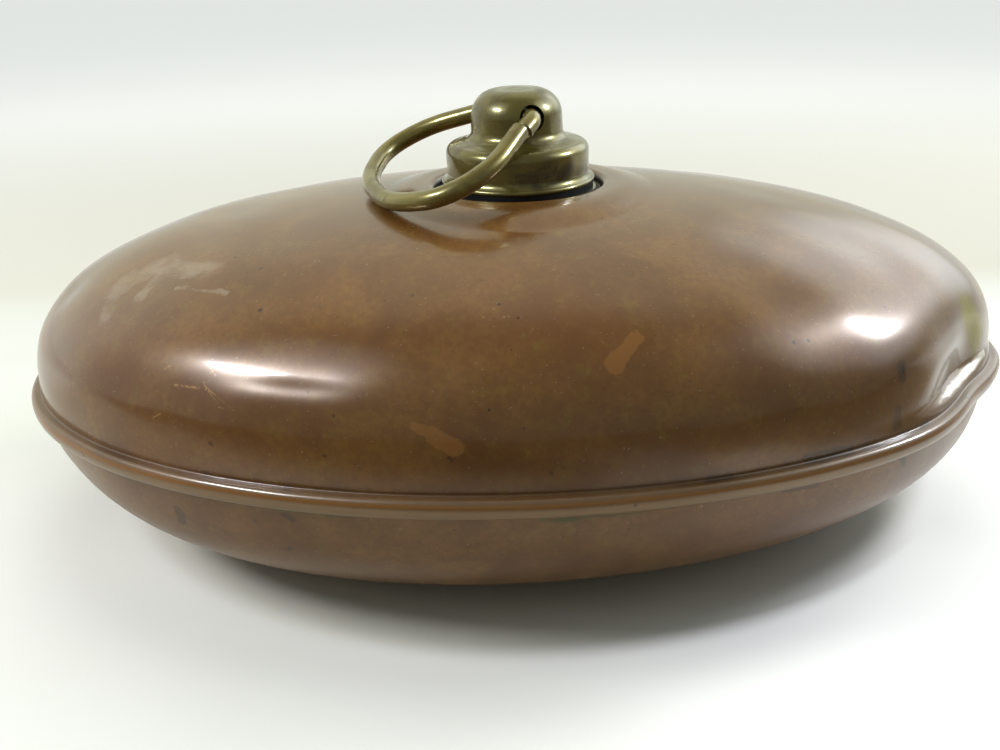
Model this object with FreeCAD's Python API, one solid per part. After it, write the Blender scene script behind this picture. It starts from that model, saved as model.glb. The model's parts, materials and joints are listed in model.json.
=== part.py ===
# Oval copper hot water bottle with a screwed brass stopper and a pull ring.
# Millimetres. +Z is up, +X runs along the oval, -Y is the front,
# and the origin is on the table under the middle of the oval.
import FreeCAD, Part
import math
import os

from FreeCAD import Matrix, Vector

# Copper body
length = 300.0  # over the seam bead
width = 200.0  # over the seam bead
seam_height = 47.6  # middle of the bead above the table
dome_height = 54.6  # crown above the middle of the bead
sheet = 1.0  # copper wall
crown_power = 2.0  # a larger value makes a flatter crown
shoulder_power = 3.0  # a larger value makes a squarer shoulder
belly_power = 3.6  # a larger value makes a flatter belly
heel_power = 2.15  # a larger value makes a squarer heel
foot_flat = 0.8  # how far the belly is pressed flat to stand

# Folded seam
bead_height = 6.0
bead_reach = 3.2  # out from the body's wall
bead_land = 1.4  # flat stretch of the fold before it turns round
seam_film = 0.05  # room between folded sheets

# Neck in the upper shell
neck_offset = 4.5  # neck axis to the right of the oval's middle
boss_rise = 0.3  # boss crest above the crown
boss_land = 3.8  # crest circle outside the well
boss_round = 18.8  # radius of the boss in section
boss_skirt = 6.0  # how far the boss reaches down into the dome
well_depth = 2.9  # well floor below the boss crest
well_round = 2.0  # rolled edge of the well
well_room = 2.2  # well outside the stopper's lip

# Collar, washer and solder
collar_flange = 1.2  # thickness of the collar's flange
collar_room = 1.8  # well outside that flange
collar_wall = 2.4  # brass outside the thread
collar_length = 18.0  # flange top to the lower end
neck_film = 0.05
neck_fillet = 3.0  # leg of the solder fillet under the well
washer_thickness = 2.0
washer_inset = 0.4  # washer inside the lip
washer_clear = 0.4  # washer outside the thread's crest

# Screw thread
thread_core = 14.0  # radius at the plug's thread root
thread_depth = 1.2
thread_pitch = 4.0
thread_root_width = 2.2
thread_crest_width = 1.0
thread_clear = 0.25  # between plug and collar, square to each face
thread_runout = 1.0  # plain length at each end of the plug's thread

# Stopper
tier_radius = 21.2  # the bell's lower tier
lip_flare = 1.7  # lip outside the tier
lip_height = 1.6
flare_height = 3.8  # lip's underside to the foot of the tier's straight wall
tier_height = 9.1  # lip's underside to the top of the tier's straight wall
tier_round = 2.8
shoulder_rise = 0.7  # slope of the shoulder up to the knob
knob_fillet = 2.8  # hollow curve between shoulder and knob
knob_foot_radius = 13.6
knob_radius = 13.4  # where the rounded top starts
knob_height = 19.2  # lip's underside to that circle
knob_round = 7.6
crown_rise = 0.5  # top of the knob above its rounded edge
cap_wall = 1.2
plug_length = 15.0  # below the lip's underside
plug_wall = 3.0
plug_flange = 2.0
plug_fit = 0.1  # flange inside the bell
cap_fillet = 1.5  # leg of the solder ring above the flange

# Pull ring
hole_height = 19.9  # cross hole above the lip's underside
hole_radius = 3.7
hole_turn = 19.5  # degrees, front of the cross hole turned to the right
wire_radius = 2.7
pin_half = 14.0  # middle of the knob to each bend beside it
pin_bend = 5.0  # radius of those bends
ring_reach = 47.3  # cross hole to the ring's far side
ring_half_width = 28.8
ring_first = 20.8  # cross hole to where the sides run level
ring_second = 35.9  # cross hole to where the sides turn in
ring_end_half = 12.5  # half of the far side
ring_twist = 3.5  # degrees, front side lower than the back
ring_droop = 23.8  # degrees below level when it lies on the dome
butt_place = 6.5  # butt joint from the bend beside the knob
butt_gap = 0.25

# Sizes that follow from those above
half_length = length / 2 - bead_reach
half_width = width / 2 - bead_reach
half_bead = bead_height / 2
fold_inside = half_bead - sheet
shell_rim = seam_height + fold_inside
lip_radius = tier_radius + lip_flare
well_radius = lip_radius + well_room
crest_radius = well_radius + boss_land
crest_z = seam_height + dome_height + boss_rise
well_floor = crest_z - well_depth
flange_top = well_floor + collar_flange
lip_z = flange_top + washer_thickness
thread_crest = thread_core + thread_depth
collar_radius = thread_crest + thread_clear + collar_wall
collar_bottom = flange_top - collar_length
hole_z = lip_z + hole_height
knob_top = lip_z + knob_height + knob_round + crown_rise

CURVE_STEPS = 12  # stretches in each body curve
CURVE_CROWDING = 1.5  # crowds those stretches towards the seam
BEND_SHARE = 0.48  # share of a straight run that one bend may take
BIG = 4 * length  # larger than anything here
UP = Vector(0, 0, 1)


def line(a, b):
    return Part.LineSegment(a, b).toShape()


def arc(a, middle, b):
    return Part.Arc(a, middle, b).toShape()


def at(radius, z):
    """Point of a section that is drawn in the XZ plane."""
    return Vector(radius, 0, z)


def spin(edges):
    """Solid of revolution about Z of the closed section made by the edges."""
    return Part.Face(Part.Wire(edges)).revolve(Vector(0, 0, 0), UP, 360)


def polygon_edges(points):
    return [line(a, b) for a, b in zip(points, points[1:] + points[:1])]


def ring_of(points):
    """Solid of revolution about Z of a straight-sided section."""
    return spin(polygon_edges(points))


def on_neck(shape):
    """Move a shape from the Z axis to the neck's axis."""
    return shape.translated(Vector(neck_offset, 0, 0))


def slab(low, high):
    """Everything between two heights."""
    return Part.makeBox(BIG, BIG, high - low, Vector(-BIG / 2, -BIG / 2, low))


# Body curves

def body_curve(radius, rise, inner_power, outer_power):
    """Curve from the seam to the axis: height = rise * (1 - share ** inner) ** (1 / outer)."""
    points = []
    for step in range(CURVE_STEPS + 1):
        angle = math.pi / 2 * (step / CURVE_STEPS) ** CURVE_CROWDING
        share = math.cos(angle) ** (2 / inner_power) if step < CURVE_STEPS else 0.0
        height = rise * math.sin(angle) ** (2 / outer_power)
        points.append(at(radius * share, seam_height + height))
    curve = Part.BSplineCurve()
    towards_axis = Vector(-1, 0, 0)
    away = UP if rise > 0 else UP.negative()
    curve.interpolate(Points=points, InitialTangent=away, FinalTangent=towards_axis)
    return curve.toShape()


def oval_bowl(inset, rise, inner_power, outer_power):
    """Half of the body, from the seam's middle plane to the crown or the belly."""
    radius = half_length - inset
    rise -= math.copysign(inset, rise)
    axis_end = at(0, seam_height + rise)
    axis_start = at(0, seam_height)
    rim = at(radius, seam_height)
    curve = body_curve(radius, rise, inner_power, outer_power)
    bowl = spin([curve, line(axis_end, axis_start), line(axis_start, rim)])
    oval = Matrix()
    oval.scale(1, (half_width - inset) / radius, 1)
    return bowl.transformGeometry(oval)


def seam_sweep(edges):
    """Sweep a section round the seam. It is drawn from the wall outwards and from mid-bead upwards."""
    section = Part.Wire(edges)
    section.translate(Vector(half_length, 0, seam_height))
    path = Part.Wire(Part.Ellipse(Vector(0, 0, seam_height), half_length, half_width).toShape())
    return path.makePipeShell([section], True, True)


def fold_reach(height, inset):
    """How far the fold's round reaches out at a height above mid-bead."""
    rise = half_bead - inset
    reach = bead_reach - inset
    bulge = reach - bead_land
    radius = (bulge ** 2 + rise ** 2) / (2 * bulge)
    return reach - radius + math.sqrt(radius ** 2 - height ** 2)


# Copper shells

def boss(inset):
    """Round boss that lifts out of the dome around the neck."""
    radius = boss_round - inset
    top = crest_z - inset
    drop = boss_skirt - inset
    end = crest_radius + math.sqrt(radius ** 2 - (radius - drop) ** 2)
    half_end = crest_radius + (end - crest_radius) / 2
    half_drop = radius - math.sqrt(radius ** 2 - (half_end - crest_radius) ** 2)
    foot = crest_z - 2 * boss_skirt
    crest = at(crest_radius, top)
    edge = at(end, top - drop)
    edges = [arc(crest, at(half_end, top - half_drop), edge),
             line(edge, at(end, foot)),
             line(at(end, foot), at(0, foot)),
             line(at(0, foot), at(0, top)),
             line(at(0, top), crest)]
    return on_neck(spin(edges))


def well(inset):
    """Space over the well's floor, with the rolled edge at its top."""
    wall = well_radius + inset
    floor = well_floor - inset
    roll = well_round - inset
    centre = at(well_radius + well_round, crest_z - well_round)
    side = centre + Vector(-roll, 0, 0)
    top = centre + Vector(0, 0, roll)
    corner = centre + Vector(-roll, 0, roll) * math.sqrt(0.5)
    above = crest_z + well_depth
    edges = [line(at(0, floor), at(wall, floor)),
             line(at(wall, floor), side),
             arc(side, corner, top),
             line(top, at(top.x, above)),
             line(at(top.x, above), at(0, above)),
             line(at(0, above), at(0, floor))]
    return on_neck(spin(edges))


def dome(inset):
    """Dome with its boss and well, as a full body."""
    bowl = oval_bowl(inset, dome_height, crown_power, shoulder_power)
    return bowl.fuse(boss(inset)).cut(well(inset))


def seam_fold():
    """The upper shell's edge, folded out, round and back under the lower shell's flange."""
    root = -sheet / 2
    outer_top = at(bead_land, half_bead)
    outer_low = at(bead_land, -half_bead)
    inner_top = at(bead_land, fold_inside)
    inner_low = at(bead_land, -fold_inside)
    edges = [line(at(root, half_bead), outer_top),
             arc(outer_top, at(bead_reach, 0), outer_low),
             line(outer_low, at(seam_film, -half_bead)),
             line(at(seam_film, -half_bead), at(seam_film, -fold_inside)),
             line(at(seam_film, -fold_inside), inner_low),
             arc(inner_low, at(bead_reach - sheet, 0), inner_top),
             line(inner_top, at(root, fold_inside)),
             line(at(root, fold_inside), at(root, half_bead))]
    return seam_sweep(edges)


def make_upper_shell():
    shell = dome(0).cut(dome(sheet))
    shell = shell.cut(slab(0, shell_rim))
    neck_hole = Part.makeCylinder(collar_radius + neck_film, BIG, Vector(neck_offset, 0, shell_rim))
    return shell.cut(neck_hole).fuse(seam_fold()).removeSplitter()


def wall_band(inset, top):
    """Straight oval band from the seam's middle plane up to a height."""
    oval = Part.Ellipse(Vector(0, 0, seam_height), half_length - inset, half_width - inset)
    return Part.Face(Part.Wire(oval.toShape())).extrude(Vector(0, 0, top - seam_height))


def belly(inset, top):
    """Lower half of the body, pressed flat underneath and carried up to a height."""
    bowl = oval_bowl(inset, -(seam_height + foot_flat), belly_power, heel_power)
    return bowl.fuse(wall_band(inset, top)).cut(slab(-seam_height, inset))


def make_lower_shell():
    rim = shell_rim - seam_film
    shell = belly(0, rim).cut(belly(sheet, rim))
    top = fold_inside - seam_film
    flange = polygon_edges([at(-sheet / 2, top), at(bead_land - seam_film, top),
                            at(bead_land - seam_film, top - sheet), at(-sheet / 2, top - sheet)])
    return shell.fuse(seam_sweep(flange)).removeSplitter()


def make_seam_solder():
    """Solder that fills the fold under the lower shell's flange."""
    top = fold_inside - sheet - 2 * seam_film
    low = -fold_inside + seam_film
    outer = at(fold_reach(top, sheet) - seam_film, top)
    corner = at(bead_land, low)
    middle = at(bead_reach - sheet - seam_film, 0)
    edges = [line(at(seam_film, top), outer),
             arc(outer, middle, corner),
             line(corner, at(seam_film, low)),
             line(at(seam_film, low), at(seam_film, top))]
    return seam_sweep(edges)


# Neck and stopper

def thread_coil(core, depth, extra, low, high):
    """One helical ridge round Z between two heights. extra widens it on every face."""
    root = thread_root_width / 2 + extra
    crest = thread_crest_width / 2 + extra
    sunk = core - depth / 2
    slope = (root - crest) / depth
    sunk_half = root + slope * depth / 2
    section = Part.Wire(polygon_edges([at(sunk, -sunk_half), at(core + depth, -crest),
                                       at(core + depth, crest), at(sunk, sunk_half)]))
    coil = Part.makeHelix(thread_pitch, high - low, core)
    ridge = Part.Wire(coil.Edges).makePipeShell([section], True, True)
    start = 360 * (low - lip_z) / thread_pitch
    ridge.rotate(Vector(0, 0, 0), UP, start)
    return ridge.translated(Vector(0, 0, low))


def make_neck_collar():
    bore = thread_core + thread_clear
    flange_radius = well_radius - collar_room
    body = ring_of([at(0, collar_bottom), at(collar_radius, collar_bottom),
                    at(collar_radius, well_floor), at(flange_radius, well_floor),
                    at(flange_radius, flange_top), at(0, flange_top)])
    groove = thread_coil(bore, thread_depth, thread_clear,
                         collar_bottom - thread_pitch, flange_top + thread_pitch)
    drill = Part.makeCylinder(bore, BIG, Vector(0, 0, -BIG / 2))
    return on_neck(body.cut(groove).cut(drill))


def make_neck_solder():
    inner = collar_radius + neck_film
    top = well_floor - sheet - neck_film
    return on_neck(ring_of([at(inner, top), at(inner + neck_fillet, top), at(inner, top - neck_fillet)]))


def make_sealing_washer():
    inner = thread_crest + washer_clear
    outer = lip_radius - washer_inset
    return on_neck(ring_of([at(inner, flange_top), at(outer, flange_top), at(outer, lip_z), at(inner, lip_z)]))


def bell_curve(inset):
    """Edges of the bell's section from the top of its flare to the axis."""
    tier = tier_radius - inset
    turn = tier_round - inset
    hollow = knob_fillet + inset
    round_top = knob_round - inset
    tier_top = lip_z + tier_height
    shoulder = at(tier_radius - tier_round, tier_top + turn)
    turn_middle = at(tier_radius - tier_round, tier_top) + Vector(turn, 0, turn) * math.sqrt(0.5)
    hollow_centre = at(knob_foot_radius + knob_fillet,
                       tier_top + tier_round + shoulder_rise + knob_fillet)
    hollow_low = hollow_centre + Vector(0, 0, -hollow)
    hollow_side = hollow_centre + Vector(-hollow, 0, 0)
    hollow_middle = hollow_centre + Vector(-hollow, 0, -hollow) * math.sqrt(0.5)
    side_top = at(knob_radius - inset, lip_z + knob_height)
    top_centre = at(knob_radius - knob_round, lip_z + knob_height)
    top_edge = top_centre + Vector(0, 0, round_top)
    top_middle = top_centre + Vector(round_top, 0, round_top) * math.sqrt(0.5)
    return [line(at(tier, lip_z + flare_height), at(tier, tier_top)),
            arc(at(tier, tier_top), turn_middle, shoulder),
            line(shoulder, hollow_low),
            arc(hollow_low, hollow_middle, hollow_side),
            line(hollow_side, side_top),
            arc(side_top, top_middle, top_edge),
            line(top_edge, at(0, knob_top - inset))]


def make_stopper_cap():
    inner = tier_radius - cap_wall
    lip_edge = lip_radius - lip_height / 2
    lip_low = at(lip_edge, lip_z)
    lip_top = at(lip_edge, lip_z + lip_height)
    tier_foot = at(tier_radius, lip_z + flare_height)
    flare_middle = at((lip_edge + 2 * tier_radius) / 3, lip_z + (2 * lip_height + flare_height) / 3)
    skirt = at(inner, lip_z + flare_height)
    edges = [line(at(inner, lip_z), lip_low),
             arc(lip_low, at(lip_radius, lip_z + lip_height / 2), lip_top),
             arc(lip_top, flare_middle, tier_foot)]
    edges += bell_curve(0)
    edges += [line(at(0, knob_top), at(0, knob_top - cap_wall))]
    edges += bell_curve(cap_wall)[::-1]
    edges += [line(skirt, at(inner, lip_z))]
    bell = spin(edges)
    hole = Part.makeCylinder(hole_radius, BIG, Vector(0, BIG / 2, hole_z), Vector(0, -1, 0))
    hole.rotate(Vector(0, 0, 0), UP, hole_turn)
    return on_neck(bell.cut(hole))


def make_stopper_plug():
    flange = tier_radius - cap_wall - plug_fit
    bore = thread_core - plug_wall
    low = lip_z - plug_length
    body = ring_of([at(0, lip_z), at(bore, lip_z), at(bore, low), at(thread_core, low),
                    at(thread_core, lip_z), at(flange, lip_z),
                    at(flange, lip_z + plug_flange), at(0, lip_z + plug_flange)])
    thread_low = low + thread_runout + thread_root_width / 2
    thread_high = flange_top - thread_runout - thread_root_width / 2
    return on_neck(body.fuse(thread_coil(thread_core, thread_depth, 0, thread_low, thread_high)))


def make_cap_solder():
    outer = tier_radius - cap_wall - plug_fit
    low = lip_z + plug_flange
    return on_neck(ring_of([at(outer - cap_fillet, low), at(outer, low), at(outer, low + cap_fillet)]))


# Pull ring

def ring_point(out, side, rise):
    """Point of the ring: out from the cross hole, towards its front end, and square to both."""
    turn = math.radians(hole_turn)
    droop = math.radians(ring_droop)
    along = Vector(-math.cos(turn), -math.sin(turn), 0)
    front = Vector(math.sin(turn), -math.cos(turn), 0)
    outward = along * math.cos(droop) - UP * math.sin(droop)
    square = along * math.sin(droop) + UP * math.cos(droop)
    return Vector(neck_offset, 0, hole_z) + outward * out + front * side + square * rise


def rounded_wire(points, bends):
    """Straight runs joined by tangent arcs. A bend of None is as large as its runs allow."""
    edges = []
    start = points[0]
    for before, corner, after, bend in zip(points, points[1:], points[2:], bends):
        into = (before - corner).normalize()
        out = (after - corner).normalize()
        half_turn = (math.pi - into.getAngle(out)) / 2
        reach = BEND_SHARE * min(before.distanceToPoint(corner), after.distanceToPoint(corner))
        if bend is not None:
            reach = bend * math.tan(half_turn)
        radius = reach / math.tan(half_turn)
        bisector = (into + out).normalize()
        deep = radius / math.cos(half_turn) - radius
        first = corner + into * reach
        last = corner + out * reach
        edges.append(line(start, first))
        edges.append(arc(first, corner + bisector * deep, last))
        start = last
    edges.append(line(start, points[-1]))
    return Part.Wire(edges)


def make_pull_ring():
    """Bent wire: from its butt joint round the ring, through the knob and back to the joint."""
    loop = [(ring_first, ring_half_width), (ring_second, ring_half_width), (ring_reach, ring_end_half)]
    loop += [(out, -side) for out, side in reversed(loop)]
    lean = math.tan(math.radians(ring_twist))
    corners = [ring_point(out, side, -side * lean) for out, side in loop]
    back = ring_point(0, -pin_half, 0)
    front = ring_point(0, pin_half, 0)
    towards = (corners[0] - front).normalize()
    bow_start = front + towards * (butt_place + butt_gap)
    stub_end = front + towards * butt_place
    points = [bow_start, *corners, back, front, stub_end]
    path = rounded_wire(points, [None] * len(corners) + [pin_bend, pin_bend])
    section = Part.Wire(Part.Circle(bow_start, towards, wire_radius).toShape())
    return path.makePipeShell([section], True, False)


PIECES = {
    "upper_shell": make_upper_shell,
    "lower_shell": make_lower_shell,
    "seam_solder": make_seam_solder,
    "neck_collar": make_neck_collar,
    "neck_solder": make_neck_solder,
    "sealing_washer": make_sealing_washer,
    "stopper_cap": make_stopper_cap,
    "stopper_plug": make_stopper_plug,
    "cap_solder": make_cap_solder,
    "pull_ring": make_pull_ring,
}

os.makedirs("parts", exist_ok=True)
for node, make in PIECES.items():
    solid, = make().Solids
    solid.exportStep("parts/" + node + ".step")
    print(node, solid.isValid(), round(solid.Volume, 1))
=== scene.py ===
"""Looks of an oval copper hot water bottle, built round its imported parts.

Metres, in the part's own frame: +Z is up, +X runs along the oval and -Y is the front.
"""

import json
import math

import bpy
import numpy as np
from bpy.props import FloatProperty, FloatVectorProperty, PointerProperty
from mathutils import Matrix, Vector


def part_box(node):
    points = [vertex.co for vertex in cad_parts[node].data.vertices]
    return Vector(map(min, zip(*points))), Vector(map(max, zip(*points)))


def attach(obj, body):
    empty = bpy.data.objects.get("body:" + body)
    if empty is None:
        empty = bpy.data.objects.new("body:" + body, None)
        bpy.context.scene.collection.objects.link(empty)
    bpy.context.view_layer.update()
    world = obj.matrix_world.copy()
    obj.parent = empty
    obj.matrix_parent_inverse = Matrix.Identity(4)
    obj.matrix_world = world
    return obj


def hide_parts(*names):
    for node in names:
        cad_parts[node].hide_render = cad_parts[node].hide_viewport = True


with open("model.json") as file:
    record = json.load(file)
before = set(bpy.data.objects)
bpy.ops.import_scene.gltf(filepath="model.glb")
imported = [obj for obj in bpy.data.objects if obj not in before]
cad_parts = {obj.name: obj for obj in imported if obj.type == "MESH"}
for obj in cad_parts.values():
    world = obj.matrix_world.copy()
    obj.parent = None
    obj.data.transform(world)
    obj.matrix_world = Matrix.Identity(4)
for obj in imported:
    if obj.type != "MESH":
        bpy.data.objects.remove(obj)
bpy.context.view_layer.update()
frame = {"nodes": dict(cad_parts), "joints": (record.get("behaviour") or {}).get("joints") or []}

bl_info = {
    "name": "Copper Hot Water Bottle",
    "version": (1, 0, 0),
    "blender": (4, 5, 0),
    "location": "View3D > Sidebar > Bottle",
    "description": "Builds the copper, brass and rubber of an old oval hot water bottle",
    "category": "Object",
}

MM = 0.001
SHELL_LOW, SHELL_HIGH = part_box("upper_shell")
WASHER_LOW, WASHER_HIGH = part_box("sealing_washer")
NECK_PLACE = 0.5 * (WASHER_LOW.x + WASHER_HIGH.x)
BEAD_REACH = 3.2 * MM
WALL_LENGTH = SHELL_HIGH.x - BEAD_REACH
WALL_WIDTH = SHELL_HIGH.y - BEAD_REACH
SHELL_RISE = SHELL_HIGH.z - SHELL_LOW.z
SHARP_ANGLE = math.radians(38)

# Fineness of the meshes
RINGS_ROUND = 310
BOSS_ROWS = 30
DOME_ROWS = 130
BELLY_ROWS = 70
WIRE_ROWS = 420
WIRE_SIDES = 48
BEND_STEPS = 24

# Shape of the copper that no setting changes
BOSS_END = 46 * MM
DOME_POWER = 2 / 3
BELLY_OUT_POWER = 2 / 3.6
BELLY_DOWN_POWER = 2 / 2.15
BELLY_HOLE = 0.985
DENSER = 1.5
GROOVE = 0.5 * MM
EDGE_ROUND = 0.12 * MM
EDGE_PLACE = 0.45 * MM


def tone(red, green, blue):
    """Linear colour from the 0 to 255 values of a screen."""
    shares = [value / 255 for value in (red, green, blue)]
    return [s / 12.92 if s <= 0.04045 else ((s + 0.055) / 1.055) ** 2.4 for s in shares]


def size(name, description, default):
    return FloatProperty(name=name, description=description, default=default,
                         unit="LENGTH", precision=5)


def share(name, description, default):
    return FloatProperty(name=name, description=description, default=default,
                         min=0, max=1, subtype="FACTOR")


def power(name, description, default):
    return FloatProperty(name=name, description=description, default=default, min=0, max=3)


def colour(name, description, default):
    return FloatVectorProperty(name=name, description=description, default=default,
                               subtype="COLOR", size=3, min=0, max=1)


class BodySizes(bpy.types.PropertyGroup):
    """Shape of the copper body."""
    half_length: size("Half Length", "Middle of the oval to the wall at its ends", WALL_LENGTH)
    half_width: size("Half Width", "Middle of the oval to the wall at its sides", WALL_WIDTH)
    seam_height: size("Seam Height", "Middle of the folded seam above the table", SHELL_LOW.z + 3 * MM)
    dome_rise: size("Dome Rise", "Crown of the dome above the seam", SHELL_RISE - 3.3 * MM)
    belly_drop: size("Belly Drop", "Lowest point of the unpressed belly under the seam", 48.4 * MM)
    sheet: size("Sheet", "Thickness of the copper", 1 * MM)
    bead_half: size("Bead Half Height", "Half of the folded seam's height", 3 * MM)
    bead_reach: size("Bead Reach", "Folded seam outside the wall", BEAD_REACH)
    bead_top: size("Bead Top", "Top of the folded seam above its middle", 2.3 * MM)
    bead_land: size("Bead Land", "Straight part of the fold", 1.3 * MM)
    neck_place: size("Neck Place", "Neck to the right of the oval's middle", NECK_PLACE)
    crest_height: size("Crest Height", "Top of the boss above the table", SHELL_HIGH.z)
    crest_radius: size("Crest Radius", "Circle where the boss turns down", 28.9 * MM)
    boss_round: size("Boss Round", "Radius of the boss in section", 18.8 * MM)
    boss_blend: size("Boss Blend", "Softness of the line where the boss meets the dome", 2.4 * MM)
    well_radius: size("Well Radius", "Well round the collar", 25.1 * MM)
    well_depth: size("Well Depth", "Floor of the well under the crest", 2.9 * MM)
    well_roll: size("Well Roll", "Rolled edge of the well", 2 * MM)
    neck_hole: size("Neck Hole", "Radius of the hole for the collar", 17.9 * MM)


class RingSizes(bpy.types.PropertyGroup):
    """Shape of the pull ring."""
    wire: size("Wire", "Radius of the wire", 2.7 * MM)
    pin_half: size("Pin Half", "Middle of the knob to each bend", 14 * MM)
    pin_bend: size("Pin Bend", "Radius of those bends", 5 * MM)
    reach: size("Reach", "Cross hole to the far side", 47.3 * MM)
    half_width: size("Half Width", "Half of the ring's width", 28.8 * MM)
    first: size("First Bend", "Cross hole to where the sides run level", 20.8 * MM)
    second: size("Second Bend", "Cross hole to where the sides turn in", 35.9 * MM)
    end_half: size("End Half", "Half of the far side", 12.5 * MM)
    butt_place: size("Butt Place", "Butt joint from the bend beside the knob", 6.5 * MM)
    butt_step: size("Butt Step", "How far the ends miss each other", 0.6 * MM)


class Finishes(bpy.types.PropertyGroup):
    """Colours of the bottle."""
    copper_brown: colour("Copper Brown", "Common colour of the old copper", tone(134, 93, 42))
    copper_dark: colour("Copper Dark", "Darker clouds in the old copper", tone(106, 69, 31))
    copper_red: colour("Copper Red", "Redder clouds in the old copper", tone(118, 74, 36))
    copper_bare: colour("Copper Bare", "Scratched and rubbed copper", tone(208, 160, 98))
    copper_worn: colour("Copper Worn", "Orange band rubbed along the seam", tone(150, 98, 38))
    bead_grey: colour("Bead Grey", "Top of the folded seam", tone(124, 107, 86))
    bead_tan: colour("Bead Tan", "Under side of the folded seam", tone(156, 120, 68))
    copper_olive: colour("Copper Olive", "Yellow green places in the old copper", tone(134, 114, 40))
    # Painted reflection: a yellow green patch by the dent, for something yellow green that it mirrors
    painted_yellow_reflection: colour("Copper Yellow", "Yellow green patch by the dent", tone(158, 148, 26))
    # Pale scuffs and specks; also a painted sheen in the crescent on the left shoulder
    scuff_and_sheen: colour("Scuff", "Pale scuffed copper", tone(198, 186, 168))
    # Near white: a painted reflection along the fold of the dent at the right end
    fold_reflection: colour("Crease", "Bare metal on a sharp fold", tone(232, 226, 216))
    stain: colour("Stain", "Pale water stain", tone(160, 108, 50))
    # Dark colour of grime, pits, smears and solder, and of the painted shade in the well
    dark_grime_and_shade: colour("Crevice", "Dirt in the folds", tone(38, 30, 22))
    verdigris: colour("Verdigris", "Green crust under the seam", tone(96, 118, 92))
    brass: colour("Brass", "Common colour of the aged brass", tone(112, 101, 50))
    brass_dark: colour("Brass Dark", "Dark patches of the aged brass", tone(64, 53, 32))
    brass_tarnish: colour("Brass Tarnish", "Purple brown tarnish on the bell", tone(44, 33, 28))
    brass_pale: colour("Brass Pale", "Rubbed edges of the aged brass", tone(180, 172, 126))
    rubber: colour("Rubber", "Sealing washer", tone(17, 18, 16))
    solder: colour("Solder", "Old tin solder", tone(92, 90, 86))
    paper: colour("Paper", "Paper under the bottle", tone(236, 239, 235))
    paper_cloud: colour("Paper Cloud", "Faint clouds in the paper", tone(226, 231, 222))
    wall: colour("Wall", "Paper where it rises behind the bottle", tone(226, 226, 216))
    # Painted light: the paper's extra glow round the bottle's shadow, which draws the shadow's edge
    painted_light_round_shadow: colour("Near Paper", "Paper round the bottle as the camera sees it", (0.49, 0.50, 0.53))
    far_paper: colour("Far Paper", "Paper far away as the camera sees it", (0.47, 0.48, 0.50))
    # Side paper and table: darker paper that only reflections and bounced light see, painted shade
    # beyond the lit paper
    side_paper_shade: colour("Side Paper", "Paper beside the picture", tone(150, 139, 116))
    table: colour("Table", "Table in front of the paper", tone(92, 84, 74))


class StageLight(bpy.types.PropertyGroup):
    """Light on the bottle."""
    room: share("Room", "Brightness of the room in front", 0.32)
    tent: power("Tent", "Brightness behind and above", 0.92)
    ceiling: share("Ceiling", "Brightness above the room in front", 0.3)
    glow: power("Glow", "Brightness of the soft glows round the lamps", 1.0)
    spread: share("Spread", "Share of the surroundings that lights dull surfaces", 0.45)
    backdrop: share("Backdrop", "Brightness low behind", 0.82)


def sizes():
    return bpy.context.scene.bottle_sizes


def finishes():
    return bpy.context.scene.bottle_finishes


def unit(vector):
    return vector / np.linalg.norm(vector)


# Knocks in the copper

class Knock:
    """A place where the copper was pushed: where, which way, how far, and how wide."""

    def __init__(self, place, way, depth, across, up, down=None):
        self.place = np.array(place) * MM
        self.way = unit(np.array(way))
        self.depth = depth * MM
        self.across = across * MM
        self.up = up * MM
        self.down = (down or up) * MM

    def push(self, points):
        away = points - self.place
        flat = (away[..., 0] ** 2 + away[..., 1] ** 2) / self.across ** 2
        tall = (away[..., 2] / np.where(away[..., 2] > 0, self.up, self.down)) ** 2
        return self.depth * np.exp(-0.5 * (flat + tall))[..., None] * self.way


KNOCKS = (
    Knock((-150, 0, 50), (1, 0, 0), 1.0, 55, 70),
    Knock((150, 0, 50), (1, 0, 0), 1.8, 50, 70),
    Knock((127, -47, 55.0), (-0.72, 0.6, -0.3), 4.6, 17, 12, 1.9),
    Knock((132, -45, 48), (-0.77, 0.62, 0), 3.4, 13, 16, 8),
    Knock((104, -50, 82), (-0.38, 0.42, -0.82), 0.5, 9, 6),
    Knock((100, -33, 88), (-0.29, 0.22, -0.93), 0.3, 8, 30),
    Knock((-98, -37, 89), (0.3, 0.25, -0.92), 0.7, 12, 8),
    Knock((-131, -21, 78), (0.6, 0.2, -0.77), 0.9, 7, 4),
    Knock((-52, -84.8, 73.8), (0.2, 0.82, -0.54), 0.2, 10, 1.2),
    Knock((40, -80, 12), (0, 0, 1), 1.3, 45, 14),
    Knock((-85, -66, 18), (-0.2, -0.3, -1), 0.9, 40, 12),
)
RIPPLES = 14
RIPPLE_HEIGHT = 0.035 * MM
RIPPLE_LENGTHS = (18 * MM, 46 * MM)
RIPPLE_RISE = 0.6
RIPPLE_SEED = 11
BOSS_CLEAR = 48 * MM
BOSS_FADE = 30 * MM
FOOT_FADE = 12 * MM


def ripples():
    """Directions, lengths and phases of the slight waves that hammering left."""
    draw = np.random.default_rng(RIPPLE_SEED)
    way = draw.normal(size=(RIPPLES, 3))
    way /= np.linalg.norm(way, axis=1)[:, None]
    length = draw.uniform(*RIPPLE_LENGTHS, RIPPLES)
    return way * (2 * np.pi / length)[:, None], draw.uniform(0, 2 * np.pi, RIPPLES)


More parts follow.
